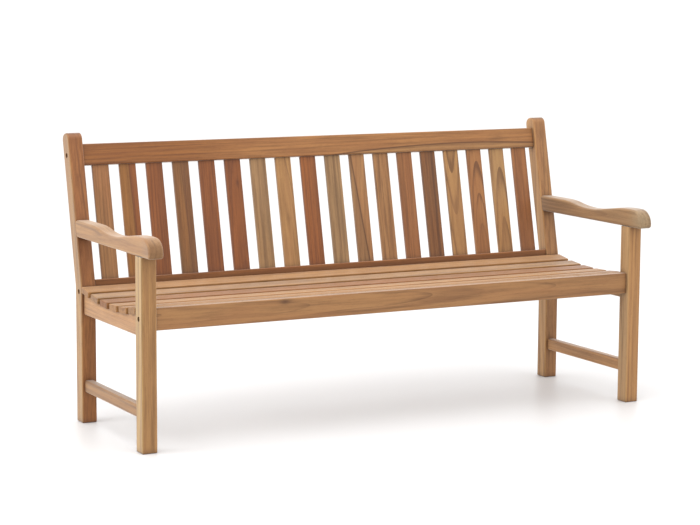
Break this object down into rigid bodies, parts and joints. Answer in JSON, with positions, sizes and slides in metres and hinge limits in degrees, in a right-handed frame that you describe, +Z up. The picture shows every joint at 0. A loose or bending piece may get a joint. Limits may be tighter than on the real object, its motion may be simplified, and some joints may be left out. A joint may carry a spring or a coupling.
{
  "type": "garden bench",
  "caption": "Long teak garden bench with a slatted dished seat, leaning slatted back and S-shaped armrests with rounded noses on plain square legs.",
  "frame": {"origin": "on the floor below the middle of the bench's bounding box", "axes": "+X along the bench, to the right as seen from the front, +Y from the front towards the back, +Z up"},
  "size_m": [1.802, 0.7099, 0.9193],
  "materials": {
    "teak_frame": "fine-sanded untreated teak, satin",
    "teak_rail": "fine-sanded untreated teak, satin",
    "teak_seat": "fine-sanded untreated teak, pale, satin",
    "teak_tan": "fine-sanded untreated teak, orange-tan",
    "teak_grey": "fine-sanded untreated teak, grey-tan",
    "teak_red": "fine-sanded untreated teak, red-brown",
    "stainless_steel": "plain stainless steel"
  },
  "bodies": {
    "root": {"front_leg_left": "teak_frame", "rear_leg_left": "teak_frame", "armrest_left": "teak_frame", "side_rail_left": "teak_frame", "side_stretcher_left": "teak_frame", "seat_bearer_left": "teak_frame", "front_leg_right": "teak_frame", "rear_leg_right": "teak_frame", "armrest_right": "teak_frame", "side_rail_right": "teak_frame", "side_stretcher_right": "teak_frame", "seat_bearer_right": "teak_frame", "front_rail": "teak_rail", "rear_rail": "teak_rail", "top_rail": "teak_rail", "seat_slat_1": "teak_seat", "seat_slat_2": "teak_seat", "seat_slat_3": "teak_seat", "seat_slat_4": "teak_seat", "seat_slat_5": "teak_seat", "seat_slat_6": "teak_seat", "back_slat_01": "teak_tan", "back_slat_02": "teak_grey", "back_slat_03": "teak_red", "back_slat_04": "teak_grey", "back_slat_05": "teak_red", "back_slat_06": "teak_red", "back_slat_07": "teak_grey", "back_slat_08": "teak_tan", "back_slat_09": "teak_red", "back_slat_10": "teak_grey", "back_slat_11": "teak_tan", "back_slat_12": "teak_tan", "back_slat_13": "teak_red", "back_slat_14": "teak_grey", "back_slat_15": "teak_tan", "back_slat_16": "teak_tan", "back_slat_17": "teak_grey", "back_slat_18": "teak_red", "frame_bolts": "stainless_steel", "bolt_washers": "stainless_steel", "barrel_nuts": "stainless_steel", "slat_screws": "stainless_steel"}
  },
  "joints": []
}
